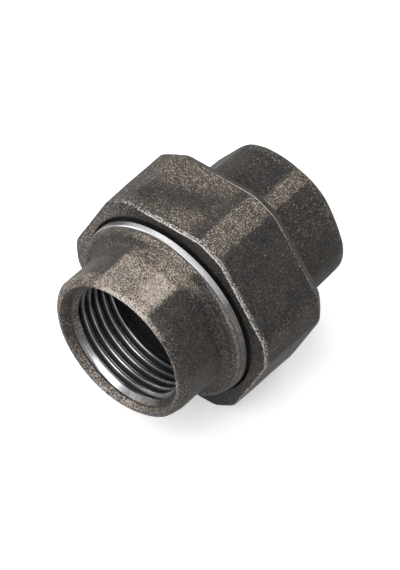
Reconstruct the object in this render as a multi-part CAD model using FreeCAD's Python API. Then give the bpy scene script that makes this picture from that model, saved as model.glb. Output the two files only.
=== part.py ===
import FreeCAD, Part
import math
import os

# A 1 inch pipe union of black malleable iron with a conical iron-to-iron seat.
# Three castings: a threaded piece in front, a tail piece behind it, and the
# union nut that pulls them together. The pipe axis runs along Y, the front
# mouth faces -Y, and the union lies on one flat of its nut, which faces -Z.
# The origin is on the axis, midway between the two end faces.
# Lengths are in millimetres and angles in degrees.

# Overall lengths along the axis
overall_length = 58.7
front_stub = 18.7
nut_length = 21.7

# Female pipe thread of both ends, drawn as a plain bore at its minor diameter
pipe_thread_major = 33.249
pipe_thread_depth = 1.479
pipe_thread_length = 12.0
pipe_relief_margin = 0.4

# Mouth of both ends: a cast dish, then a machined chamfer down to the thread
front_mouth_margin = 1.15
rear_mouth_margin = 0.4
mouth_dish_depth = 1.75
mouth_chamfer_margin = 0.08
mouth_chamfer_length = 1.95

# Hexagonal ends: a wall over the pipe thread, wide round corners cut back from
# the sharp hexagon, and how much wider each end is at its root than at its mouth
front_wall = 2.93
front_corner_cut = 2.43
front_hex_turn = -13.0
front_hex_growth = -0.6
rear_wall = 1.48
rear_corner_cut = 1.75
rear_hex_turn = -11.0
rear_hex_growth = 1.0
end_corner_softness = 3.0

# Rounded rims of both mouths, and how far the rear casting sits off the
# machined axis
front_rim_rounding = 2.9
rear_rim_rounding = 2.6
rear_casting_offset_x = 0.6
rear_casting_offset_z = -0.35

# Union thread, drawn as plain cylinders at its pitch diameter
union_thread_major = 47.803
union_thread_depth = 1.479
union_thread_clearance = 0.1
thread_end_to_collar = 0.5

# Machined rim of the threaded piece at the thread's major diameter, the
# groove behind it, and the cast shoulder that flares out to it in front
rim_width = 1.35
rim_chamfer = 0.3
rim_to_nut = 1.25
groove_depth = 1.6
groove_width = 2.0
flare_hollow_radius = 3.3
flare_edge_radius = 1.5

# Conical seat, measured on the threaded piece
seat_wall = 2.2
seat_half_angle = 35.0
seat_clearance = 0.08
seat_overlap = 3.8

# Collar and neck of the tail piece, and the waterway through it
collar_width = 4.5
collar_clearance = 0.12
collar_chamfer = 0.5
collar_height = 1.8
neck_end_past_nut = 0.6
neck_slope = 1.8
waterway_step = 0.65
relief_length = 2.5

# Union nut
nut_wall = 2.85
nut_corner_cut = 1.65
nut_corner_softness = 6.0
nut_front_rounding = 0.4
nut_mouth_margin = 0.6
nut_mouth_depth = 2.0
nut_mouth_chamfer = 0.25
nut_rear_band_length = 2.3
nut_rear_band_drop = 1.8
nut_thread_relief = 1.0
nut_thread_end_to_lip = 3.8
lip_width = 4.5
lip_clearance = 0.4
lip_chamfer = 0.6
bearing_clearance = 0.05

# Places along the axis
front_end = -overall_length / 2
rear_end = overall_length / 2
nut_front = front_end + front_stub
nut_rear = nut_front + nut_length
lip_face = nut_rear - lip_width
rim_back = nut_front - rim_to_nut
rim_front = rim_back - rim_width
collar_back = lip_face - bearing_clearance
collar_front = collar_back - collar_width
male_thread_start = rim_back + groove_width
male_end = collar_front - thread_end_to_collar
neck_end = nut_rear + neck_end_past_nut

# Radii and widths that follow from the sizes above
pipe_radius = pipe_thread_major / 2
minor_radius = pipe_radius - pipe_thread_depth
relief_radius = pipe_radius + pipe_relief_margin
water_radius = minor_radius - waterway_step
rim_radius = union_thread_major / 2
root_radius = rim_radius - union_thread_depth
male_radius = (rim_radius + root_radius) / 2
groove_radius = rim_radius - groove_depth
nut_bore_radius = male_radius + union_thread_clearance
nut_mouth_radius = rim_radius + nut_mouth_margin
seat_radius = root_radius - seat_wall
collar_radius = root_radius - collar_clearance
neck_radius = collar_radius - collar_height
lip_radius = neck_radius + lip_clearance
front_across_flats = pipe_thread_major + 2 * front_wall
rear_across_flats = pipe_thread_major + 2 * rear_wall
nut_across_flats = union_thread_major + 2 * nut_wall
front_corner_radius = front_across_flats / 2 / math.cos(math.radians(30)) - front_corner_cut
rear_corner_radius = rear_across_flats / 2 / math.cos(math.radians(30)) - rear_corner_cut
seat_slope = math.tan(math.radians(seat_half_angle))
seat_offset = seat_clearance / math.cos(math.radians(seat_half_angle))


def at(radius, y):
    """Point of a turned profile: its distance from the axis and its place along it."""
    return FreeCAD.Vector(radius, y, 0)


def around(radius, angle, y):
    """Point at an angle about the axis, counted in degrees from +X towards +Z."""
    turn = math.radians(angle)
    return FreeCAD.Vector(radius * math.cos(turn), y, radius * math.sin(turn))


def turned(edges):
    """Solid turned about the pipe axis from a closed profile."""
    face = Part.Face(Part.Wire(edges))
    return face.revolve(at(0, 0), FreeCAD.Vector(0, 1, 0), 360)


def lines(points):
    """Straight profile edges through the points, in order."""
    return [Part.LineSegment(a, b).toShape() for a, b in zip(points, points[1:])]


def turned_polygon(points):
    """Solid turned from a closed profile of straight lines."""
    return turned(lines(points + points[:1]))


def hexagon(across_flats, corner_cut, turn, y):
    """Section across the axis: six flats joined by arcs where the corners are rounded off."""
    apothem = across_flats / 2
    radius = apothem / math.cos(math.radians(30)) - corner_cut
    half_flat = math.degrees(math.acos(apothem / radius))
    edges = []
    for side in range(6):
        middle = 90 + 60 * side + turn
        flat_start = around(radius, middle - half_flat, y)
        flat_end = around(radius, middle + half_flat, y)
        corner = around(radius, middle + 30, y)
        next_flat = around(radius, middle + 60 - half_flat, y)
        edges.append(Part.LineSegment(flat_start, flat_end).toShape())
        edges.append(Part.Arc(flat_end, corner, next_flat).toShape())
    return Part.Wire(edges)


def edges_along_axis(shape):
    """The long edges that run from one section to the next."""
    return [edge for edge in shape.Edges if abs(edge.tangentAt(edge.FirstParameter).y) > 0.5]


def edges_at(shape, y):
    """The outline edges that lie in the plane at y."""
    return [edge for edge in shape.Edges if abs(edge.CenterOfMass.y - y) < 0.001]


def drafted_hexagon(start, root, across_flats, corner_cut, turn, growth):
    """Cast hexagonal body with soft corners, wider by growth at its root than at its start."""
    body = Part.makeLoft([
        hexagon(across_flats, corner_cut, turn, start),
        hexagon(across_flats + growth, corner_cut, turn, root),
    ], True, True)
    return body.makeFillet(end_corner_softness, edges_along_axis(body))


def round_rimmed(radius, end, inward, rounding, root_radius, root):
    """Turned body whose end face rounds over at its rim and whose side runs straight to the root."""
    bend = rounding * math.cos(math.radians(45))
    rim = Part.Arc(
        at(radius - rounding, end),
        at(radius - rounding + bend, end + inward * (rounding - bend)),
        at(radius, end + inward * rounding),
    ).toShape()
    return turned([rim] + lines([
        at(radius, end + inward * rounding),
        at(root_radius, root),
        at(0, root),
        at(0, end),
        at(radius - rounding, end),
    ]))


def socket(end, inward, mouth_margin, relief_end):
    """Space inside a threaded end: dish, chamfer, thread and the wider relief behind it.

    inward is 1 where the end's inside lies towards +Y and -1 where it lies towards -Y.
    """
    chamfer_start = end + inward * mouth_dish_depth
    thread_start = chamfer_start + inward * mouth_chamfer_length
    thread_end = thread_start + inward * pipe_thread_length
    relief_start = thread_end + inward * (relief_radius - minor_radius)
    return turned_polygon([
        at(0, end),
        at(pipe_radius + mouth_margin, end),
        at(pipe_radius + mouth_chamfer_margin, chamfer_start),
        at(minor_radius, thread_start),
        at(minor_radius, thread_end),
        at(relief_radius, relief_start),
        at(relief_radius, relief_end),
        at(0, relief_end),
    ])


def threaded_piece():
    """Front casting: hexagonal body, flared shoulder, bright rim and the male union thread."""
    flare_top = rim_radius - rim_chamfer
    flare_crest = flare_top - flare_edge_radius
    flare_foot = flare_crest - flare_hollow_radius
    flare_bend = rim_front - flare_edge_radius
    flare_start = flare_bend - flare_hollow_radius
    body = drafted_hexagon(
        front_end, flare_bend, front_across_flats, front_corner_cut, front_hex_turn, front_hex_growth)
    body = body.common(round_rimmed(
        front_corner_radius, front_end, 1, front_rim_rounding, front_corner_radius, flare_bend))
    half = math.sin(math.radians(45))
    hollow = Part.Arc(
        at(flare_foot, flare_start),
        at(flare_crest - flare_hollow_radius * half, flare_start + flare_hollow_radius * half),
        at(flare_crest, flare_bend),
    ).toShape()
    edge = Part.Arc(
        at(flare_crest, flare_bend),
        at(flare_crest + flare_edge_radius * half, rim_front - flare_edge_radius * half),
        at(flare_top, rim_front),
    ).toShape()
    thread_lead = male_radius - groove_radius
    outside = lines([
        at(flare_top, rim_front),
        at(rim_radius, rim_front + rim_chamfer),
        at(rim_radius, rim_back),
        at(groove_radius, rim_back),
        at(groove_radius, male_thread_start - thread_lead),
        at(male_radius, male_thread_start),
        at(male_radius, male_end - thread_lead),
        at(male_radius - thread_lead, male_end),
        at(0, male_end),
        at(0, flare_start),
        at(flare_foot, flare_start),
    ])
    body = body.fuse(turned([hollow, edge] + outside))
    seat_depth = (seat_radius - relief_radius) / seat_slope
    seat = turned_polygon([
        at(0, male_end),
        at(seat_radius, male_end),
        at(relief_radius, male_end - seat_depth),
        at(0, male_end - seat_depth),
    ])
    return body.cut(seat).cut(socket(front_end, 1, front_mouth_margin, male_end - seat_depth))


def tail_piece():
    """Rear casting: hexagonal mouth, turned neck, the collar that the nut pulls on and the convex cone."""
    body = drafted_hexagon(
        rear_end, neck_end, rear_across_flats, rear_corner_cut, rear_hex_turn, rear_hex_growth)
    body = body.common(round_rimmed(
        rear_corner_radius, rear_end, -1, rear_rim_rounding, rear_corner_radius + rear_hex_growth, neck_end))
    body.translate(FreeCAD.Vector(rear_casting_offset_x, 0, rear_casting_offset_z))
    cone_root = seat_radius - seat_offset + (collar_front - male_end) * seat_slope
    cone_tip = seat_radius - seat_offset - seat_overlap * seat_slope
    turned_part = turned_polygon([
        at(0, male_end - seat_overlap),
        at(cone_tip, male_end - seat_overlap),
        at(cone_root, collar_front),
        at(collar_radius - collar_chamfer, collar_front),
        at(collar_radius, collar_front + collar_chamfer),
        at(collar_radius, collar_back),
        at(neck_radius, collar_back),
        at(neck_radius, neck_end),
        at(neck_radius - neck_slope, neck_end + neck_slope),
        at(0, neck_end + neck_slope),
    ])
    thread_end = rear_end - mouth_dish_depth - mouth_chamfer_length - pipe_thread_length
    relief_end = thread_end - relief_length
    waterway = turned_polygon([
        at(0, male_end - seat_overlap),
        at(water_radius, male_end - seat_overlap),
        at(water_radius, relief_end - (relief_radius - water_radius)),
        at(relief_radius, relief_end),
        at(0, relief_end),
    ])
    inside = waterway.fuse(socket(rear_end, -1, rear_mouth_margin, relief_end))
    return body.fuse(turned_part).cut(inside)


def union_nut():
    """Hexagonal nut: open and threaded in front, with a lip behind that pulls on the collar."""
    ridge = nut_rear - nut_rear_band_length
    body = Part.makeLoft([
        hexagon(nut_across_flats, nut_corner_cut, 0, nut_front),
        hexagon(nut_across_flats, nut_corner_cut, 0, ridge),
    ], True, True)
    band = Part.makeLoft([
        hexagon(nut_across_flats, nut_corner_cut, 0, ridge),
        hexagon(nut_across_flats - 2 * nut_rear_band_drop, nut_corner_cut, 0, nut_rear),
    ], True, True)
    body = body.makeFillet(nut_corner_softness, edges_along_axis(body))
    band = band.makeFillet(nut_corner_softness, edges_along_axis(band))
    body = body.makeFillet(nut_front_rounding, edges_at(body, nut_front))
    relief_bore = nut_bore_radius + nut_thread_relief
    thread_end = lip_face - nut_thread_end_to_lip
    inside = turned_polygon([
        at(0, nut_front),
        at(nut_mouth_radius + nut_mouth_chamfer, nut_front),
        at(nut_mouth_radius, nut_front + nut_mouth_chamfer),
        at(nut_mouth_radius, nut_front + nut_mouth_depth),
        at(nut_bore_radius, nut_front + nut_mouth_depth + nut_mouth_radius - nut_bore_radius),
        at(nut_bore_radius, thread_end),
        at(relief_bore, thread_end + nut_thread_relief),
        at(relief_bore, lip_face),
        at(lip_radius, lip_face),
        at(lip_radius, nut_rear - lip_chamfer),
        at(lip_radius + lip_chamfer, nut_rear),
        at(0, nut_rear),
    ])
    return body.fuse(band).cut(inside)


os.makedirs("parts", exist_ok=True)
for name, shape in {
    "threaded_piece": threaded_piece(),
    "tail_piece": tail_piece(),
    "union_nut": union_nut(),
}.items():
    shape.exportStep("parts/" + name + ".step")
    print(name, "valid" if shape.isValid() else "broken", len(shape.Solids), "solid",
          round(shape.Volume / 1000, 3), "cm3", len(shape.Faces), "faces")
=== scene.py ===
import math
import bpy
import numpy as np
from mathutils import Matrix, Vector, noise


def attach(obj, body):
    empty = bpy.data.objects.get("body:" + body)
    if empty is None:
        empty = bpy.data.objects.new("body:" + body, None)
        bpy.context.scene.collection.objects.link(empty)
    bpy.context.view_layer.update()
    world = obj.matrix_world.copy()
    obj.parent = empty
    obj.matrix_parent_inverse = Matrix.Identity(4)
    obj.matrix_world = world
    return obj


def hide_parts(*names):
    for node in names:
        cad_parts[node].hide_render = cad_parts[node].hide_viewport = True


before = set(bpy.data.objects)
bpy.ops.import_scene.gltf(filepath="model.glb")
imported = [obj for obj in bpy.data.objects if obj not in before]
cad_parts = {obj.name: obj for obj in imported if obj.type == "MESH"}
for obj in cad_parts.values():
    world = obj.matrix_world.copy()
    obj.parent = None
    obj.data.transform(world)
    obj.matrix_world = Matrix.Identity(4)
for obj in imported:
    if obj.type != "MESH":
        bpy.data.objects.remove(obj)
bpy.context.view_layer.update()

# Sizes in millimetres. The pipe axis runs along Y, with the photographed mouth at -Y.
MM = 0.001
FRONT_END = -29.35
REAR_END = 29.35
NUT_FRONT = -10.65
NUT_REAR = 11.05

# Pipe thread and union thread, which have one pitch
PITCH = 2.309
PIPE_MAJOR = 16.6245
PIPE_MINOR = 15.1455
UNION_MAJOR = 23.9015
UNION_MINOR = 22.4225
UNION_MEAN = 23.162
THREAD_CLEARANCE = 0.1
FLANK_ANGLE = math.radians(27.5)
THREAD_ROUNDING = 0.137329 * PITCH
THREAD_DEPTH = 0.640327 * PITCH
THREAD_STEP = 0.16
PIPE_THREAD_STEP = 0.1

# Threaded sockets at both ends, and the waterway between them
DISH_DEPTH = 1.75
DISH_LIP = 0.10
CHAMFER = 1.95
CHAMFER_MARGIN = 0.08
PIPE_THREAD = 12.0
SOCKET_DEPTH = DISH_DEPTH + CHAMFER + PIPE_THREAD
RELIEF = 17.0245
RUNOUT_SLOPE = 2.2
WATERWAY = 14.4955

# Front end of the threaded piece, its flare and its bright rim
FRONT_APOTHEM = 19.5545
FRONT_CORNER = 20.15
FRONT_TURN = -13.0
FRONT_GROWTH = -0.3
FRONT_RIM = 2.9
FRONT_MOUTH_MARGIN = 1.15
FRONT_DISH_MARGIN = 1.14
FRONT_DISH_SHIFT = 0.42
FRONT_DISH_LEAN = 0.45
FLARE_HOLLOW = 3.3
FLARE_EDGE = 1.5
FLARE_TOP = UNION_MAJOR - 0.3
RIM_BACK = NUT_FRONT - 1.25
RIM_FRONT = RIM_BACK - 1.35

# Conical seat, and the male thread over it
MALE_START = RIM_BACK + 2.0
MALE_END = MALE_START + 11.4
SEAT_RADIUS = UNION_MINOR - 2.2
SEAT_ANGLE = math.radians(35)
SEAT_SLOPE = math.tan(SEAT_ANGLE)
SEAT_GAP = 0.08
GROOVE = 22.3

# Tail piece
REAR_APOTHEM = 18.1
REAR_CORNER = 19.2
REAR_TURN = -11.0
REAR_GROWTH = 0.5
REAR_CENTRE = (0.6, -0.35)
REAR_RIM = 2.6
REAR_CRISP = 70
REAR_DISH_MARGIN = 0.4
REAR_DISH_LEAN = 0.3
LIP_FACE = NUT_REAR - 4.5
COLLAR = UNION_MINOR - 0.12
COLLAR_LENGTH = 4.5
COLLAR_GAP = 0.05
CONE_LENGTH = 3.8
NECK = COLLAR - 1.8
SHOULDER = 2.2

# Union nut
NUT_APOTHEM = 26.75
NUT_CORNER = 29.24
NUT_FACET = 28.95
NUT_CRISP = 110
NUT_BAND = 2.3
NUT_BAND_DROP = 1.8
NUT_BACK_DROP = NUT_BAND_DROP + 0.08
NUT_EDGE = 0.4
NUT_MOUTH = UNION_MAJOR + 0.4
NUT_MOUTH_DEPTH = 2.0
NUT_RELIEF = UNION_MEAN + THREAD_CLEARANCE + 1.0
NUT_RELIEF_START = LIP_FACE - 2.8
NUT_LIP = NECK + 0.4
NUT_LIP_BEVEL = 0.6

# Unevenness of the castings: a long wave, a short one, and how far both lie below the true surface
SWELL, SWELL_SIZE = 0.11, 9.0
RIPPLE, RIPPLE_SIZE = 0.04, 3.2
SUNK = 0.06

# Every row has this many points, from +X over the top (90 degrees) and -X to the underside
AROUND = 288
ANGLES = np.arange(AROUND) * 2 * math.pi / AROUND
DEGREES = np.degrees(ANGLES)
UNDERSIDE = DEGREES > 250
SHARP = math.radians(40)

# Paint of a row, in the order of MARKS: the first is 1 on machined metal, the second whitens worn edges
# and paints highlights, the third lays rust-brown bare where the skin is rubbed and paints highlights,
# and the fourth paints shade into hollows, gaps and faces turned from the light, and darkens oily threads
MARKS = ("bare", "wear", "rub", "deep")
MACHINED = {"bare": 1, "rough": 0}


# Values by angle and by place

def ring(value):
    """One number for every angle, from a single number or from as many as there are angles."""
    return np.broadcast_to(np.asarray(value, float), (AROUND,))


def lit(middle, spread):
    """1 at one angle about the axis in degrees, falling to 0 at spread degrees from it."""
    away = (DEGREES - middle + 180) % 360 - 180
    return np.clip(1 - (away / spread) ** 2, 0, 1)


def rise(start, width):
    """0 up to start degrees, rising to 1 over width degrees. A negative width rises backwards."""
    return np.clip((DEGREES - start) / width, 0, 1)


def bell(value, middle, width):
    """1 where the value is at the middle, falling to 0 on both sides."""
    return np.exp(-((value - middle) / width) ** 2)


# Sections

def hexagon(apothem, corner, turn, crisp=90, facet=None):
    """Radius at every angle of a hexagon with soft corners, cut back to the corner radius.

    facet is the distance from the axis of flats that cut the corners, and crisp the sharpness of
    every edge.
    """
    total = np.full(AROUND, corner ** -float(crisp))
    for side in range(6):
        away = ANGLES - math.radians(90 + 60 * side + turn)
        total += (np.maximum(np.cos(away), 0) / apothem) ** crisp
        if facet:
            total += (np.maximum(np.cos(away - math.radians(30)), 0) / facet) ** crisp
    return total ** (-1.0 / crisp)


def front_section(y):
    """The front end's hexagon, which narrows a little from its mouth to the flare."""
    grown = FRONT_GROWTH * (y - FRONT_END) / (RIM_FRONT - FLARE_EDGE - FRONT_END)
    return hexagon(FRONT_APOTHEM + grown, FRONT_CORNER + grown, FRONT_TURN)


def rear_section(growth):
    """The rear end's hexagon, which widens from its mouth to the neck."""
    return hexagon(REAR_APOTHEM + growth, REAR_CORNER + growth, REAR_TURN, REAR_CRISP)


def nut_section(drop):
    """The nut's hexagon with its corners cut, smaller by drop."""
    return hexagon(NUT_APOTHEM - drop, NUT_CORNER - drop, 0, NUT_CRISP, NUT_FACET - drop)


def soft_max(a, b, width):
    """The larger of two radii, with a rounded change from one to the other."""
    gap = np.clip(0.5 + 0.5 * (a - b) / width, 0, 1)
    return b * (1 - gap) + a * gap + width * gap * (1 - gap)


def soft_min(a, b, width):
    """The smaller of two radii, with a rounded change from one to the other."""
    return -soft_max(-a, -b, width)


def whitworth(phase):
    """Height of a 55 degree thread with rounded crests and roots: 1 at the crest, 0 at the root."""
    away = np.abs(phase - np.round(phase)) * PITCH
    to_root = PITCH / 2 - away
    reach = THREAD_ROUNDING * math.cos(FLANK_ANGLE)
    shoulder = THREAD_DEPTH - THREAD_ROUNDING * (1 - math.sin(FLANK_ANGLE))
    crest = THREAD_DEPTH - THREAD_ROUNDING + np.sqrt(np.maximum(THREAD_ROUNDING ** 2 - away ** 2, 0))
    root = THREAD_ROUNDING - np.sqrt(np.maximum(THREAD_ROUNDING ** 2 - to_root ** 2, 0))
    flank = shoulder - (away - reach) / math.tan(FLANK_ANGLE)
    return np.where(away < reach, crest, np.where(to_root < reach, root, flank)) / THREAD_DEPTH


def helix(y, start=0.0):
    """Turns of a right-hand helix at every angle in the plane y."""
    return (y - start) / PITCH + ANGLES / (2 * math.pi)


def union_thread(y):
    """Radius of the union thread at every angle in the plane y."""
    return UNION_MINOR + (UNION_MAJOR - UNION_MINOR) * whitworth(helix(y))


# Meshes

class Profile:
    """Rows of points around the axis, in order along the outline of a piece's section."""

    def __init__(self):
        self.rows = []
        self.paint = []

    def add(self, y, radius, centre=(0.0, 0.0), bare=0.0, wear=0.0, rub=0.0, deep=0.0, rough=1.0):
        """One row, painted as MARKS says. rough is how much of the casting's unevenness it gets."""
        self.rows.append(np.stack([
            centre[0] + ring(radius) * np.cos(ANGLES),
            ring(y),
            centre[1] + ring(radius) * np.sin(ANGLES),
        ], axis=1))
        self.paint.append([ring(value) for value in (bare, wear, rub, deep, rough)])


def into_scene(name, data):
    """A new object of the scene, made from its data."""
    obj = bpy.data.objects.new(name, data)
    bpy.context.scene.collection.objects.link(obj)
    return obj


def uneven(points, size, amount, seed):
    """Smooth random number between -amount and amount at each point."""
    shift = Vector((seed * 7.3, seed * 3.1, seed * 5.7))
    return np.array([noise.noise(Vector(point) / size + shift) for point in points]) * amount


def cast(profile, seed):
    """Gives cast rows the slight unevenness of a sand casting, only inwards, and machined rows none."""
    for row, (bare, _, _, _, rough) in zip(profile.rows, profile.paint):
        skin = (1 - bare) * rough
        if skin.max() == 0:
            continue
        push = uneven(row, SWELL_SIZE, SWELL, seed) + uneven(row, RIPPLE_SIZE, RIPPLE, seed + 9) - SUNK
        push = np.minimum(push, 0) * skin
        length = np.hypot(row[:, 0], row[:, 2])
        for axis in (0, 2):
            row[:, axis] += row[:, axis] / length * push


def build(name, profile, body, node, material):
    """Mesh of a ring-shaped piece, whose last row joins its first."""
    rows = np.array(profile.rows)
    paint = np.array(profile.paint)
    points = rows.reshape(-1, 3) * MM
    i = np.arange(len(rows))[:, None]
    j = np.arange(AROUND)[None, :]
    after_i = (i + 1) % len(rows)
    after_j = (j + 1) % AROUND
    faces = np.stack([
        i * AROUND + j,
        i * AROUND + after_j,
        after_i * AROUND + after_j,
        after_i * AROUND + j,
    ], axis=-1).reshape(-1, 4)
    corners = points[faces]
    volume = np.einsum("ij,ij->i", corners[:, 0], np.cross(corners[:, 1], corners[:, 2])).sum()
    volume += np.einsum("ij,ij->i", corners[:, 0], np.cross(corners[:, 2], corners[:, 3])).sum()
    if volume < 0:
        faces = faces[:, ::-1]
    mesh = bpy.data.meshes.new(name)
    mesh.vertices.add(len(points))
    mesh.vertices.foreach_set("co", points.astype(np.float32).ravel())
    mesh.loops.add(faces.size)
    mesh.loops.foreach_set("vertex_index", faces.astype(np.int32).ravel())
    mesh.polygons.add(len(faces))
    mesh.polygons.foreach_set("loop_start", (np.arange(len(faces)) * 4).astype(np.int32))
    for index, mark in enumerate(MARKS):
        layer = mesh.attributes.new(mark, "FLOAT", "POINT")
        layer.data.foreach_set("value", paint[:, index].astype(np.float32).ravel())
    mesh.update(calc_edges=True)
    mesh.validate()
    mesh.polygons.foreach_set("use_smooth", np.ones(len(mesh.polygons), bool))
    mesh.set_sharp_from_angle(angle=SHARP)
    mesh.materials.append(material)
    obj = into_scene(name, mesh)
    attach(obj, body)
    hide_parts(node)


# Shader nodes

def cleared(owner):
    """Node tree of a material or world, emptied."""
    owner.use_nodes = True
    owner.node_tree.nodes.clear()
    return owner.node_tree


def feed(tree, target, value):
    """Gives an input a number, a color or a vector, or links another node's output to it."""
    if isinstance(value, bpy.types.NodeSocket):
        tree.links.new(value, target)
    elif isinstance(value, tuple) and len(value) < len(target.default_value):
        target.default_value = (*value, 1.0)
    else:
        target.default_value = value


def add(tree, kind, feeds=None, **settings):
    """A new node with its settings, and its inputs fed by name or number."""
    node = tree.nodes.new(kind)
    for key, value in settings.items():
        setattr(node, key, value)
    for key, value in (feeds or {}).items():
        feed(tree, node.inputs[key], value)
    return node


def math_node(tree, operation, *values, clamp=False):
    feeds = dict(enumerate(values))
    return add(tree, "ShaderNodeMath", feeds, operation=operation, use_clamp=clamp).outputs[0]


def vector_node(tree, operation, *values):
    return add(tree, "ShaderNodeVectorMath", dict(enumerate(values)), operation=operation)


def mix_color(tree, factor, a, b):
    return add(tree, "ShaderNodeMix", {0: factor, 6: a, 7: b}, data_type="RGBA").outputs[2]


def mix_number(tree, factor, a, b):
    return add(tree, "ShaderNodeMix", {0: factor, 2: a, 3: b}).outputs[0]


def scaled_color(tree, color, amount):
    return add(tree, "ShaderNodeVectorMath", {0: color, "Scale": amount}, operation="SCALE").outputs[0]


def ramp(tree, value, low, high):
    """0 up to low and 1 from high, with a smooth change between them."""
    feeds = {"Value": value, "From Min": low, "From Max": high}
    return add(tree, "ShaderNodeMapRange", feeds, interpolation_type="SMOOTHSTEP").outputs["Result"]


def noise_at(tree, place, scale, detail=2.0, roughness=0.5):
    feeds = {"Vector": place, "Scale": scale, "Detail": detail, "Roughness": roughness}
    return add(tree, "ShaderNodeTexNoise", feeds).outputs["Fac"]


def place_in_mm(tree, shift):
    """The object's own coordinates in millimetres, shifted so that no two pieces look the same."""
    own = add(tree, "ShaderNodeTexCoord").outputs["Object"]
    return vector_node(tree, "MULTIPLY_ADD", own, (1 / MM, 1 / MM, 1 / MM), shift).outputs[0]


def on_the_lathe(tree, place, shift):
    """Distance from the axis and distance along it, by which the marks of turning run round."""
    along = add(tree, "ShaderNodeSeparateXYZ", {0: place}).outputs[1]
    own = vector_node(tree, "SUBTRACT", place, shift).outputs[0]
    flat = vector_node(tree, "MULTIPLY", own, (1.0, 0.0, 1.0)).outputs[0]
    reach = vector_node(tree, "LENGTH", flat).outputs["Value"]
    return add(tree, "ShaderNodeCombineXYZ", {0: reach, 1: along}).outputs[0]


# Colors of black malleable iron, in linear light
SKIN_DARK = (0.064, 0.062, 0.062)
SKIN_WARM = (0.086, 0.077, 0.069)
SKIN_BROWN = (0.185, 0.138, 0.104)
RUBBED = (0.265, 0.213, 0.163)
SPARKLE = (0.78, 0.71, 0.63)
WORN_EDGE = (0.75, 0.71, 0.68)
METAL_DARK = (0.34, 0.34, 0.345)
METAL_LIGHT = (0.64, 0.64, 0.65)
METAL_HIGHLIGHT = (0.86, 0.86, 0.87)
CLEAN = (1.0, 1.0, 1.0)
OIL_AND_SHADE = (0.13, 0.125, 0.145)

# Cells of sand grain to a millimetre, and the height of the grain in millimetres
GRAIN_SCALE = 4.6
GRAIN_HEIGHT = 0.09


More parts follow.
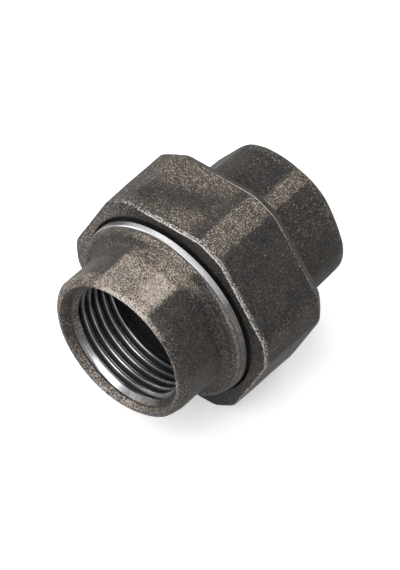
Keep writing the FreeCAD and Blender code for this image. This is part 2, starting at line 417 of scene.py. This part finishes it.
def cast_iron(name, shift, tone):
    """Dark oxide skin over sand grain, browner where it is rubbed, and bare metal where machined.

    shift moves the pattern, and tone is how light the skin is.
    """
    material = bpy.data.materials.new(name)
    tree = cleared(material)
    place = place_in_mm(tree, shift)
    bare, wear, rub, deep = (
        add(tree, "ShaderNodeAttribute", attribute_name=mark).outputs["Fac"] for mark in MARKS)

    broad = noise_at(tree, place, 0.13, 3.0)
    patch = noise_at(tree, place, 0.42, 3.0)
    grain = noise_at(tree, place, 2.6, 2.0, 0.6)
    fine = noise_at(tree, place, GRAIN_SCALE, 1.0, 0.5)
    dots = add(tree, "ShaderNodeTexVoronoi", {"Scale": GRAIN_SCALE, "Vector": place})
    dot = add(tree, "ShaderNodeSeparateColor", {"Color": dots.outputs["Color"]})
    grit = math_node(tree, "MULTIPLY_ADD", fine, 0.9, math_node(tree, "MULTIPLY_ADD", grain, 1.3, -1.1))

    # Skin: dark, in broad warmer zones, browned and laid bare in patches where it is rubbed and where a
    # highlight is painted
    dark, warm, brown = (
        tuple(value * tone for value in color) for color in (SKIN_DARK, SKIN_WARM, SKIN_BROWN))
    skin = mix_color(tree, ramp(tree, broad, 0.38, 0.62), dark, warm)
    browned = math_node(tree, "MULTIPLY_ADD", rub, 2.2, 0.2, clamp=True)
    browned = math_node(tree, "MULTIPLY", ramp(tree, patch, 0.38, 0.75), browned)
    skin = mix_color(tree, browned, skin, brown)
    rubbed = math_node(tree, "MULTIPLY_ADD", math_node(tree, "SUBTRACT", patch, 0.5), 1.9, 1.0)
    rubbed = math_node(tree, "MULTIPLY", rubbed, rub, clamp=True)
    skin = mix_color(tree, rubbed, skin, RUBBED)
    contrast = math_node(tree, "MULTIPLY_ADD", rub, 2.2, 3.0)
    shade = math_node(tree, "MULTIPLY_ADD", grit, contrast, 0.95)
    skin = scaled_color(tree, skin, math_node(tree, "MAXIMUM", shade, 0.25))

    # Single bright grains, more of them where it is rubbed and where a highlight is painted, and speckled
    # worn edges, whitened also where a highlight is painted
    cover = math_node(tree, "MULTIPLY_ADD", rub, -0.8, 0.998)
    spread = math_node(tree, "MULTIPLY_ADD", rub, 0.45, 0.04)
    sparkle = math_node(
        tree, "DIVIDE", math_node(tree, "SUBTRACT", dot.outputs[0], cover), spread, clamp=True)
    skin = mix_color(tree, math_node(tree, "MULTIPLY", sparkle, 0.55), skin, SPARKLE)
    edge = math_node(tree, "MULTIPLY_ADD", dot.outputs[1], 0.55, math_node(tree, "MULTIPLY", grit, 1.2))
    edge = math_node(tree, "MULTIPLY_ADD", wear, 1.15, math_node(tree, "SUBTRACT", edge, 0.72))
    edge = math_node(tree, "MULTIPLY", edge, 2.4, clamp=True)
    skin = mix_color(tree, math_node(tree, "MULTIPLY", edge, 0.9), skin, WORN_EDGE)

    # Bare metal with the marks of turning, whitened where a highlight is painted on it
    turned = noise_at(tree, on_the_lathe(tree, place, shift), 4.5, 2.0, 0.6)
    metal = mix_color(tree, ramp(tree, turned, 0.36, 0.64), METAL_DARK, METAL_LIGHT)
    metal = scaled_color(tree, metal, math_node(tree, "MULTIPLY_ADD", patch, 0.7, 0.65))
    metal = mix_color(tree, wear, metal, METAL_HIGHLIGHT)
    color = mix_color(tree, bare, skin, metal)
    # Painted shade, and oil on the threads, darken the colour
    color = vector_node(tree, "MULTIPLY", color, mix_color(tree, deep, CLEAN, OIL_AND_SHADE)).outputs[0]

    rough = math_node(tree, "MULTIPLY_ADD", grit, 0.35, 0.52)
    rough = math_node(tree, "MULTIPLY_ADD", sparkle, -0.15, rough)
    rough = mix_number(tree, bare, rough, math_node(tree, "MULTIPLY_ADD", fine, 0.10, 0.23))
    whitened = math_node(tree, "MULTIPLY", bare, wear)
    metallic = math_node(tree, "MULTIPLY_ADD", whitened, -0.6, mix_number(tree, bare, 0.2, 0.95))

    height = math_node(tree, "MULTIPLY_ADD", dot.outputs[2], 0.35, math_node(tree, "MULTIPLY", grit, 1.6))
    height = math_node(tree, "MULTIPLY", height, math_node(tree, "MULTIPLY_ADD", bare, -0.96, 1.0))
    bump = add(tree, "ShaderNodeBump", {
        "Strength": 1.0, "Distance": GRAIN_HEIGHT * MM, "Height": height})
    shader = add(tree, "ShaderNodeBsdfPrincipled", {
        "Specular IOR Level": 0.22, "Metallic": metallic, "Base Color": color, "Roughness": rough,
        "Normal": bump.outputs["Normal"]})
    add(tree, "ShaderNodeOutputMaterial", {"Surface": shader.outputs[0]})
    return material


# Threaded sockets of both ends

def dish_edge(margin, shift):
    """Radius of a dish at the mouth: the cast dish sits a little off the machined axis."""
    return PIPE_MAJOR + margin + shift * np.cos(ANGLES - math.radians(75))


def chamfer_radius(depth):
    """Radius of the chamfer at a depth below the end of the casting."""
    slope = (PIPE_MAJOR + CHAMFER_MARGIN - PIPE_MINOR) / CHAMFER
    return PIPE_MAJOR + CHAMFER_MARGIN - (depth - DISH_DEPTH) * slope


def socket_rows(profile, end, inward, start, mouth, lean, backwards=False):
    """Dish, chamfer and helical pipe thread of a threaded end, from its mouth inwards.

    inward is 1 or -1, the way into the bore along Y, and start shifts the thread along Y. The dish
    is deeper by lean on its left, as the cast face is not square to the machined bore.
    """
    dish = DISH_DEPTH + lean * np.cos(ANGLES - math.radians(160))
    askew = 0.5 + 0.3 * np.cos(ANGLES - math.radians(170))

    # Rusted on the left, cleaned to metal except there and at the lower right, darkened with painted
    # shade except at the lower left where the metal keeps its highlight, and lighter low down
    rusty = lit(163, 54) ** 0.5
    cleaned = (1 - 0.95 * lit(325, 55) ** 0.4) * (1 - 0.95 * rusty)
    metal_shade = 1 - lit(245, 62) ** 0.7
    lower_whitening = 0.36 * lit(258, 50) ** 0.7
    rows = []

    def row(depth, radius, bare=0.0, deep=0.0, rub=0.0):
        rows.append({
            "y": end + inward * depth, "radius": radius, "bare": bare, "wear": lower_whitening * (1 - bare),
            "rub": rub, "deep": deep, "rough": 0.3})

    # Cast dish, its left wall darkened with painted shade and lighter low down, and the step where the
    # chamfer cuts it, darkened with painted shade
    edge = chamfer_radius(dish)
    for t in np.linspace(0, 1, 8)[:-1]:
        row(DISH_LIP + (dish - DISH_LIP) * t ** 1.2, edge + 0.1 + (mouth - edge - 0.1) * (1 - t ** 0.8),
            deep=0.45 * lit(160, 50) * t, rub=0.1 + 0.35 * lit(262, 60))
    row(dish, edge + 0.08, deep=0.6 * cleaned, rub=0.1)
    row(dish + 0.05, edge + 0.18, deep=cleaned)
    row(dish + 0.22, edge + 0.14, deep=cleaned)

    # Chamfer, thread and its runout: whichever lies farthest out
    first = dish + 0.25
    steps = int((SOCKET_DEPTH - DISH_DEPTH) / PIPE_THREAD_STEP)
    for k in range(steps + 1):
        depth = first + (SOCKET_DEPTH - first) * k / steps
        high = whitworth(helix(end + inward * depth, start + inward * askew))
        thread = PIPE_MAJOR - (PIPE_MAJOR - PIPE_MINOR) * high
        runout = RELIEF - (SOCKET_DEPTH - depth) * RUNOUT_SLOPE
        cone = chamfer_radius(depth)
        crest = np.clip((high - 0.6) / 0.4, 0, 1)
        on_cone = np.clip((cone - thread) / 0.05, 0, 1)
        near = rusty * np.clip((1.7 - (depth - first)) / 0.3, 0, 1)
        # Painted shade and oil darken the roots and flanks, and the crests except low on the left where
        # they keep their highlight; the runout and the relief get painted shade
        dark = (0.9 - 0.35 * (1 - metal_shade)) * (1 - crest) + (0.62 * metal_shade + 0.25 * rusty) * crest
        dark = dark * (1 - on_cone) + (0.85 - 0.45 * rusty) * metal_shade * on_cone
        row(depth, np.maximum(np.maximum(thread, cone), runout),
            bare=(1 - on_cone * (1 - cleaned)) * (1 - 0.92 * near),
            deep=np.where(runout > thread, 0.88, dark * (1 - 0.3 * near)),
            rub=0.3 * lit(300, 60) + 0.3 * np.maximum(rusty * on_cone, near))
    row(SOCKET_DEPTH + 0.05, RELIEF, bare=1.0, deep=0.9)
    for settings in rows[::-1] if backwards else rows:
        profile.add(**settings)


# Threaded piece

def threaded_piece():
    """Rows of the front casting, from its mouth over the outside to the seat and back to the mouth."""
    profile = Profile()
    crest = FLARE_TOP - FLARE_EDGE
    root_y = RIM_FRONT - FLARE_EDGE
    start_y = root_y - FLARE_HOLLOW

    # The upper flat, rubbed and painted with a highlight that is brighter on its right, and the flat to
    # the right of it, darkened with painted shade
    upper_rub_and_highlight = rise(58.5, 3) * rise(106.5, -3) * (1 - 0.45 * rise(74, 6))
    shaded = rise(0, 4) * rise(59.5, -3)
    mouth = dish_edge(FRONT_DISH_MARGIN, FRONT_DISH_SHIFT)

    # Rounded rim of the mouth, from the dish to the flats. A painted highlight lies on its front at the
    # upper right, on its inner edge at the right and over the upper flat; it is lighter low down, and
    # painted shade darkens it beside the shaded flat
    below = lit(262, 62) ** 0.7
    first_bend = math.asin((PIPE_MAJOR + FRONT_MOUTH_MARGIN - FRONT_CORNER) / FRONT_RIM + 1)
    for turn in np.linspace(0, 1, 15):
        bend = first_bend + (math.pi / 2 - first_bend) * turn
        y = FRONT_END + FRONT_RIM * (1 - math.cos(bend))
        rounded = FRONT_CORNER - FRONT_RIM + FRONT_RIM * math.sin(bend)
        facing = np.clip((0.5 - turn) / 0.2, 0, 1)
        inner = np.clip((0.2 - turn) / 0.1, 0, 1)
        profile.add(
            y, np.maximum(soft_min(front_section(y), rounded, 0.3), mouth + 0.02 + 0.1 * turn),
            wear=0.05 + 0.5 * facing * lit(72, 36) ** 0.5 + 0.36 * below,
            rub=(0.05 + 0.7 * facing * lit(74, 36) ** 0.4 + 0.35 * inner * lit(12, 60)
                 + (1 - facing) * 0.55 * upper_rub_and_highlight + 0.20 * lit(150, 75) ** 0.5 + 0.06 * below),
            deep=0.28 * shaded * (1 - inner))

    # Hexagonal body, rubbed most on its upper flat, which carries a painted highlight brightest partway
    # along; painted shade darkens the flat to its right
    for y in np.linspace(FRONT_END + FRONT_RIM + 0.4, start_y, 22):
        rubbed = 0.46 + 0.46 * bell(y, FRONT_END + 9.0, 7.0)
        profile.add(y, front_section(y), rub=0.03 + rubbed * upper_rub_and_highlight, deep=0.28 * shaded)

    # Hollow of the flare: the upper flat's painted highlight passes into a painted highlight on its top,
    # a thin painted sheen lies near its edge on the right, and painted shade darkens it on the right
    for turn in np.linspace(0, 1, 13)[1:]:
        bend = turn * math.pi / 2
        profile.add(
            start_y + FLARE_HOLLOW * math.sin(bend),
            soft_max(front_section(start_y), crest - FLARE_HOLLOW * math.cos(bend), 0.4),
            rub=(0.03 + 0.45 * (upper_rub_and_highlight * (1 - turn) + lit(70, 26) ** 0.6 * turn)
                 + 0.15 * lit(25, 35) * bell(turn, 0.85, 0.12)),
            deep=0.28 * shaded + 0.25 * turn * lit(18, 34))

    # Rounded edge of the shoulder, machined next to the rim, with one dark turned line. On the
    # right and below, the machining reaches farther down and is darkened with painted shade, and
    # beside the rim's painted highlight it is darker too.
    metal_shade = 0.1 + 0.5 * rise(50, -60) + 0.75 * rise(150, 60)
    metal_shade = np.where(UNDERSIDE, 0.5 + 0.25 * rise(360, -60), metal_shade)
    limit = 0.92 - 0.35 * rise(62, -35) - 0.35 * UNDERSIDE
    rim_highlight = lit(75, 42) ** 0.5
    clean = np.where(UNDERSIDE, 0.3, 1 - 0.7 * rise(50, -25))
    for turn in np.linspace(0, 1, 13)[1:]:
        bend = turn * math.pi / 2
        machined = np.clip((turn - limit) / 0.08, 0, 1)
        line = 0.5 if 0.72 < turn < 0.8 else 0.0
        profile.add(
            root_y + FLARE_EDGE * (1 - math.cos(bend)),
            crest + FLARE_EDGE * math.sin(bend) - (0.04 if line else 0.0),
            bare=0.7 * machined * clean * (1 - rim_highlight),
            rub=0.06 + 0.4 * machined * lit(20, 60) + 0.4 * upper_rub_and_highlight * (1 - machined),
            deep=(np.maximum(np.maximum(metal_shade, line), 0.5 * rim_highlight) * machined
                  + 0.25 * shaded * (1 - machined)),
            rough=1 - machined)

    # Rim: a strip darkened with painted shade before it, then bright metal with a painted highlight
    # uppermost, and painted shade on the right and below
    rim_start = RIM_FRONT + 0.35
    rim_back = RIM_BACK + 0.35
    strip = {"bare": 0.8 * clean * (1 - rim_highlight), "deep": 0.6, "rough": 0}
    rim = {"bare": clean, "wear": rim_highlight, "rub": 0.5, "deep": metal_shade, "rough": 0}
    profile.add(RIM_FRONT + 0.05, FLARE_TOP - 0.08, **strip)
    profile.add(RIM_FRONT + 0.12, FLARE_TOP - 0.06, **strip)
    profile.add(RIM_FRONT + 0.28, UNION_MAJOR - 0.24, bare=clean, deep=metal_shade + 0.3 * rim_highlight, rough=0)
    for t in (0, 0.3, 0.5, 0.7, 0.9):
        profile.add(rim_start + (rim_back - rim_start - 0.05) * t, UNION_MAJOR - 0.2 * (1 - t), **rim)
    profile.add(rim_back - 0.05, UNION_MAJOR, **rim)
    profile.add(rim_back, UNION_MAJOR - 0.05, bare=1, deep=0.8, rough=0)

    # Groove behind the rim, darkened with painted shade like the gap that the nut leaves
    profile.add(rim_back + 0.02, UNION_MAJOR - 0.15, deep=1, rough=0)
    profile.add(rim_back + 0.02, GROOVE + 0.1, deep=1, rough=0)
    profile.add(rim_back + 0.1, GROOVE, deep=1, rough=0)

    # Male union thread, darkened with painted shade and grease as far as the gap shows it at rest
    length = MALE_END - rim_back - 0.3
    steps = int((length + 0.1) / THREAD_STEP)
    for k in range(steps + 1):
        y = rim_back + 0.2 + length * k / steps
        lead = np.minimum(GROOVE + np.maximum(y - MALE_START + 0.8, 0) * 2.0, UNION_MAJOR)
        end = UNION_MAJOR - np.maximum(y - MALE_END + 0.8, 0) * 1.2
        hidden = min(max((y - NUT_FRONT - 2.0) / 2.0, 0), 1)
        profile.add(y, np.minimum(np.minimum(union_thread(y), lead), end),
                    bare=hidden, deep=1 - hidden, rough=0)
    profile.add(MALE_END, UNION_MINOR - 0.25, **MACHINED)

    # Conical seat, and the relief behind the pipe thread, darkened with painted shade
    seat_end = MALE_END - (SEAT_RADIUS - RELIEF) / SEAT_SLOPE
    profile.add(MALE_END, SEAT_RADIUS + 0.1, **MACHINED)
    profile.add(MALE_END - 0.1, SEAT_RADIUS - 0.02, **MACHINED)
    profile.add(seat_end, RELIEF, **MACHINED)
    profile.add(seat_end - 0.3, RELIEF, bare=0.3, deep=0.4, rough=0)
    profile.add(FRONT_END + SOCKET_DEPTH + 1.6, RELIEF, deep=0.85, rough=0)
    socket_rows(profile, FRONT_END, 1, 0.0, mouth, FRONT_DISH_LEAN, backwards=True)
    return profile


# Tail piece

def tail_piece():
    """Rows of the rear casting, from the tip of its cone over the outside to its mouth and back."""
    profile = Profile()
    collar_back = LIP_FACE - COLLAR_GAP
    collar_front = collar_back - COLLAR_LENGTH
    tip_y = MALE_END - CONE_LENGTH
    cone_start = SEAT_RADIUS - SEAT_GAP / math.cos(SEAT_ANGLE)
    neck_end = NUT_REAR + 0.6

    # Cone, collar and neck
    for y, radius in (
            (tip_y + 0.05, WATERWAY),
            (tip_y, WATERWAY + 0.1),
            (tip_y, cone_start - CONE_LENGTH * SEAT_SLOPE - 0.05),
            (tip_y + 0.1, cone_start - (CONE_LENGTH - 0.05) * SEAT_SLOPE),
            (collar_front, cone_start + (collar_front - MALE_END) * SEAT_SLOPE),
            (collar_front, COLLAR - 0.5),
            (collar_front + 0.5, COLLAR),
            (collar_back, COLLAR),
            (collar_back, NECK),
            (neck_end - 0.3, NECK)):
        profile.add(y, radius, **MACHINED)

    # Shoulder from the turned neck to the cast hexagon, which sits off the axis
    for t in np.linspace(0, 1, 10):
        fall = NECK - SHOULDER * math.sin(t * math.pi / 2) * 1.1
        profile.add(
            neck_end + SHOULDER * t, soft_max(rear_section(REAR_GROWTH), fall, 0.5),
            centre=(REAR_CENTRE[0] * t, REAR_CENTRE[1] * t), bare=1 - t)

    # Hexagonal body, rubbed at its upper corner and on the left
    rubbed = (0.65 * rise(57.5, 1.5) * rise(73, -3) + 0.25 * rise(120, 2) * rise(129, -3)
              + 0.14 * lit(36, 24))
    for y in np.linspace(neck_end + 2.8, REAR_END - REAR_RIM - 0.5, 14):
        growth = REAR_GROWTH * (REAR_END - y) / (REAR_END - neck_end)
        profile.add(y, rear_section(growth), centre=REAR_CENTRE, rub=0.02 + 0.4 * rubbed)

    # Rounded rim of the mouth
    section = rear_section(0)
    mouth = dish_edge(REAR_DISH_MARGIN, 0.0)
    rim = np.minimum(REAR_RIM, section - mouth - 0.05)
    for turn in np.linspace(1, 0, 10):
        bend = turn * math.pi / 2
        off = min(turn * 2, 1)
        profile.add(
            REAR_END - REAR_RIM * (1 - math.cos(bend)), section - rim + rim * math.sin(bend),
            centre=(REAR_CENTRE[0] * off, REAR_CENTRE[1] * off), wear=0.08, rub=0.08 + 0.2 * rubbed)

    # Socket, relief and waterway, the last two darkened with painted shade
    socket_rows(profile, REAR_END, -1, 1.0, mouth, REAR_DISH_LEAN)
    relief_end = REAR_END - SOCKET_DEPTH - 2.5
    profile.add(relief_end + 0.2, RELIEF, deep=0.85, rough=0)
    profile.add(relief_end - (RELIEF - WATERWAY), WATERWAY, deep=0.8, rough=0.3)
    return profile


# Union nut

def union_nut():
    """Rows of the nut, from its mouth over the outside to the lip and back through the thread."""
    profile = Profile()
    outer = nut_section(0)
    back = nut_section(NUT_BACK_DROP)
    ridge = NUT_REAR - NUT_BAND
    corner = np.clip(1 - (((DEGREES + 30) % 60 - 32) / 7.0) ** 2, 0, 1) ** 0.4
    corner *= 0.2 + 0.8 * lit(55, 50)
    edge_wear = (0.7 + 0.3 * lit(80, 90)) * (1 - 0.65 * lit(150, 48) ** 0.3)
    back_wear = 0.5 + 0.5 * lit(65, 30)
    upper_flat = rise(71, 9) * rise(119, -6)

    # Mouth, darkened with painted shade, and front face, lightened with painted light on the left and
    # darkened with painted shade at the upper right and next to the mouth
    profile.add(NUT_FRONT + NUT_MOUTH_DEPTH, NUT_MOUTH, deep=1, rough=0)
    profile.add(NUT_FRONT + 0.15, NUT_MOUTH, deep=1, rough=0)
    profile.add(NUT_FRONT, NUT_MOUTH + 0.15, deep=0.4, rough=0.2)
    for t in (0.15, 0.4, 0.7, 0.9):
        profile.add(
            NUT_FRONT, (NUT_MOUTH + 0.15) * (1 - t) + (outer - NUT_EDGE) * t,
            wear=0.22 * lit(170, 70), rub=0.02 + 0.22 * lit(160, 70),
            deep=0.2 * (1 - t) + 0.3 * lit(60, 60) ** 0.5, rough=0.5)

    # Worn front edge
    for turn in np.linspace(0, 1, 7):
        bend = turn * math.pi / 2
        profile.add(
            NUT_FRONT + NUT_EDGE * (1 - math.cos(bend)), outer - NUT_EDGE + NUT_EDGE * math.sin(bend),
            wear=(0.25 + 0.55 * math.sin(math.pi * turn)) * edge_wear, rub=0.1)
    profile.add(NUT_FRONT + NUT_EDGE + 0.15, outer, wear=0.60 * edge_wear, rub=0.1)
    profile.add(NUT_FRONT + NUT_EDGE + 0.45, outer, wear=0.48 * edge_wear, rub=0.1)
    profile.add(NUT_FRONT + NUT_EDGE + 0.8, outer, wear=0.12, rub=0.05 + 0.25 * corner)

    # Flats and corners, with a darker band that crosses the upper flat aslant, painted shade on the right
    # just below the middle, and lighter low on the right
    for y in np.linspace(NUT_FRONT + 1.6, ridge - 0.5, 22):
        dark_band = bell(y, NUT_FRONT + 7 + 0.18 * (104 - DEGREES), 4.0) * upper_flat
        profile.add(
            y, outer, wear=0.3 * lit(67.5, 1.6),
            rub=0.02 + 0.28 * corner + 0.18 * upper_flat * (1 - 0.9 * dark_band) + 0.1 * lit(308, 20),
            deep=0.22 * lit(350, 26) ** 0.5 + 0.2 * dark_band)

    # Ridge, and the band that slopes down behind it
    for y, drop, wear in (
            (ridge - 0.25, 0.0, 0.22),
            (ridge - 0.1, 0.02, 0.825),
            (ridge + 0.02, 0.07, 0.825),
            (ridge + 0.16, 0.17, 0.11)):
        profile.add(y, nut_section(drop), wear=wear * back_wear, rub=0.05)
    for t in np.linspace(0.18, 0.93, 6):
        profile.add(ridge + NUT_BAND * t, nut_section(NUT_BAND_DROP * t + 0.03), rub=0.02)
    profile.add(NUT_REAR - 0.06, nut_section(NUT_BAND_DROP - 0.02), wear=0.2)
    profile.add(NUT_REAR, back, wear=0.2)

    # Back face, and the lip round the neck
    bevel = NUT_LIP + NUT_LIP_BEVEL
    for t in (0.3, 0.65, 0.95):
        profile.add(NUT_REAR, back * (1 - t) + bevel * t, rub=0.05, rough=0.4)
    profile.add(NUT_REAR, bevel, bare=0.3, rough=0.2)
    profile.add(NUT_REAR - NUT_LIP_BEVEL, NUT_LIP, **MACHINED)
    profile.add(LIP_FACE, NUT_LIP, **MACHINED)

    # Relief and female thread, back to the mouth
    profile.add(LIP_FACE, NUT_RELIEF, **MACHINED)
    profile.add(NUT_RELIEF_START, NUT_RELIEF, **MACHINED)
    thread_start = NUT_FRONT + NUT_MOUTH_DEPTH
    length = NUT_RELIEF_START - thread_start
    steps = int(length / THREAD_STEP)
    for k in range(1, steps + 1):
        y = NUT_RELIEF_START - length * k / steps
        entry = NUT_MOUTH - np.maximum(y - thread_start - 0.1, 0) * 1.8
        runout = NUT_RELIEF - np.maximum(NUT_RELIEF_START - y, 0) * 1.8
        thread = union_thread(y) + THREAD_CLEARANCE
        profile.add(y, np.maximum(np.maximum(thread, entry), runout), **MACHINED)
    return profile


# Pieces: name, rows, body, node, shift of the pattern, tone of the skin and seed of the unevenness
PIECES = (
    ("threaded_end_casting", threaded_piece, "threaded_end", "threaded_piece", (3.0, 8.0, 1.0), 0.85, 1),
    ("tail_casting", tail_piece, "tail_end", "tail_piece", (40.0, -12.0, 77.0), 0.55, 2),
    ("union_nut_casting", union_nut, "nut", "union_nut", (-35.0, 60.0, 13.0), 0.6, 3),
)
for name, rows_of, body, node, shift, tone, seed in PIECES:
    profile = rows_of()
    cast(profile, seed)
    build(name, profile, body, node, cast_iron("iron_" + node, shift, tone))


# Camera: a long lens, looking down on the union from the photograph's side. The axis meets the
# plane of the nut's front face at the pixel ANCHOR.
IMAGE_WIDTH, IMAGE_HEIGHT = 400, 570
PIXELS_PER_MM = 4.33
ANCHOR = (170.4, 304.2)
AZIMUTH = math.radians(44.645)
ELEVATION = math.radians(45.172)
ROLL = math.radians(-5.506)
LENS = 1000.0
SENSOR = 36.0

level = Vector((math.cos(AZIMUTH), math.sin(AZIMUTH), 0))
ahead = Vector((-math.sin(AZIMUTH), math.cos(AZIMUTH), 0))
upward = Vector((0, 0, 1))
back = -ahead * math.cos(ELEVATION) + upward * math.sin(ELEVATION)
up = ahead * math.sin(ELEVATION) + upward * math.cos(ELEVATION)
side_axis = level * math.cos(ROLL) + up * math.sin(ROLL)
up_axis = -level * math.sin(ROLL) + up * math.cos(ROLL)
aim = Vector((0, NUT_FRONT, 0))
aim += side_axis * ((IMAGE_WIDTH / 2 - ANCHOR[0]) / PIXELS_PER_MM)
aim += up_axis * ((ANCHOR[1] - IMAGE_HEIGHT / 2) / PIXELS_PER_MM)
distance = IMAGE_HEIGHT / 2 / PIXELS_PER_MM * LENS / (SENSOR / 2)
camera_data = bpy.data.cameras.new("camera")
camera_data.lens = LENS
camera_data.sensor_width = SENSOR
camera_data.clip_start = 0.1
camera_data.clip_end = 20.0
camera = into_scene("camera", camera_data)
facing = Matrix((side_axis, up_axis, back)).transposed().to_4x4()
camera.matrix_world = Matrix.Translation((aim + back * distance) * MM) @ facing
bpy.context.scene.camera = camera

# Floor: white to the camera and to the metal, with the object's soft shadow
FLOOR_SIZE = 4.0
FLOOR_Z = -NUT_APOTHEM * MM
FLOOR_GLOW = 0.48
FLOOR_GREY = (0.42, 0.42, 0.42)
FLOOR_SEEN = (0.8, 0.8, 0.8)
WHITE = (1, 1, 1, 1)
floor_mesh = bpy.data.meshes.new("floor")
floor_mesh.from_pydata(
    [(x * FLOOR_SIZE, y * FLOOR_SIZE, FLOOR_Z) for x, y in ((-1, -1), (1, -1), (1, 1), (-1, 1))],
    [], [(0, 1, 2, 3)])
floor = into_scene("floor", floor_mesh)
floor_material = bpy.data.materials.new("floor")
tree = cleared(floor_material)
path = add(tree, "ShaderNodeLightPath").outputs
seen = math_node(tree, "ADD", path["Is Camera Ray"], path["Is Glossy Ray"], clamp=True)
paper = add(tree, "ShaderNodeBsdfDiffuse", {
    "Color": mix_color(tree, path["Is Camera Ray"], FLOOR_GREY, FLOOR_SEEN)})
glow = add(tree, "ShaderNodeEmission", {
    "Color": WHITE, "Strength": math_node(tree, "MULTIPLY", seen, FLOOR_GLOW)})
both = add(tree, "ShaderNodeAddShader", {0: paper.outputs[0], 1: glow.outputs[0]})
add(tree, "ShaderNodeOutputMaterial", {"Surface": both.outputs[0]})
floor_mesh.materials.append(floor_material)

# World: soft grey light all round, and white where the camera sees it
AMBIENT = 0.35
world = bpy.data.worlds.new("world")
bpy.context.scene.world = world
tree = cleared(world)
path = add(tree, "ShaderNodeLightPath").outputs
seen = math_node(tree, "MAXIMUM", path["Is Camera Ray"], path["Is Transmission Ray"])
strength = math_node(tree, "MULTIPLY_ADD", seen, 1 - AMBIENT, AMBIENT)
sky = add(tree, "ShaderNodeBackground", {"Color": WHITE, "Strength": strength})
add(tree, "ShaderNodeOutputWorld", {"Surface": sky.outputs[0]})

# Softboxes: name, direction to the lamp, then its distance, width and height in metres and its watts
LAMPS = (
    ("key", (0.0, 0.50, 0.86), 0.7, 1.0, 0.4, 2.4),
    ("over", (0.12, -0.52, 0.84), 0.7, 0.55, 0.42, 2.0),
    ("left", (-0.9, -0.2, 0.5), 0.7, 0.4, 0.4, 2.0),
    ("front", (0.2, -0.82, 0.5), 0.8, 0.6, 0.45, 2.2),
)
for name, toward, span, width, height, power in LAMPS:
    data = bpy.data.lights.new(name, "AREA")
    data.shape = "RECTANGLE"
    data.size = width
    data.size_y = height
    data.energy = power
    lamp = into_scene(name, data)
    direction = Vector(toward).normalized()
    lamp.location = direction * span
    lamp.rotation_mode = "QUATERNION"
    lamp.rotation_quaternion = direction.to_track_quat("Z", "Y")

bpy.context.scene.view_settings.view_transform = "Standard"
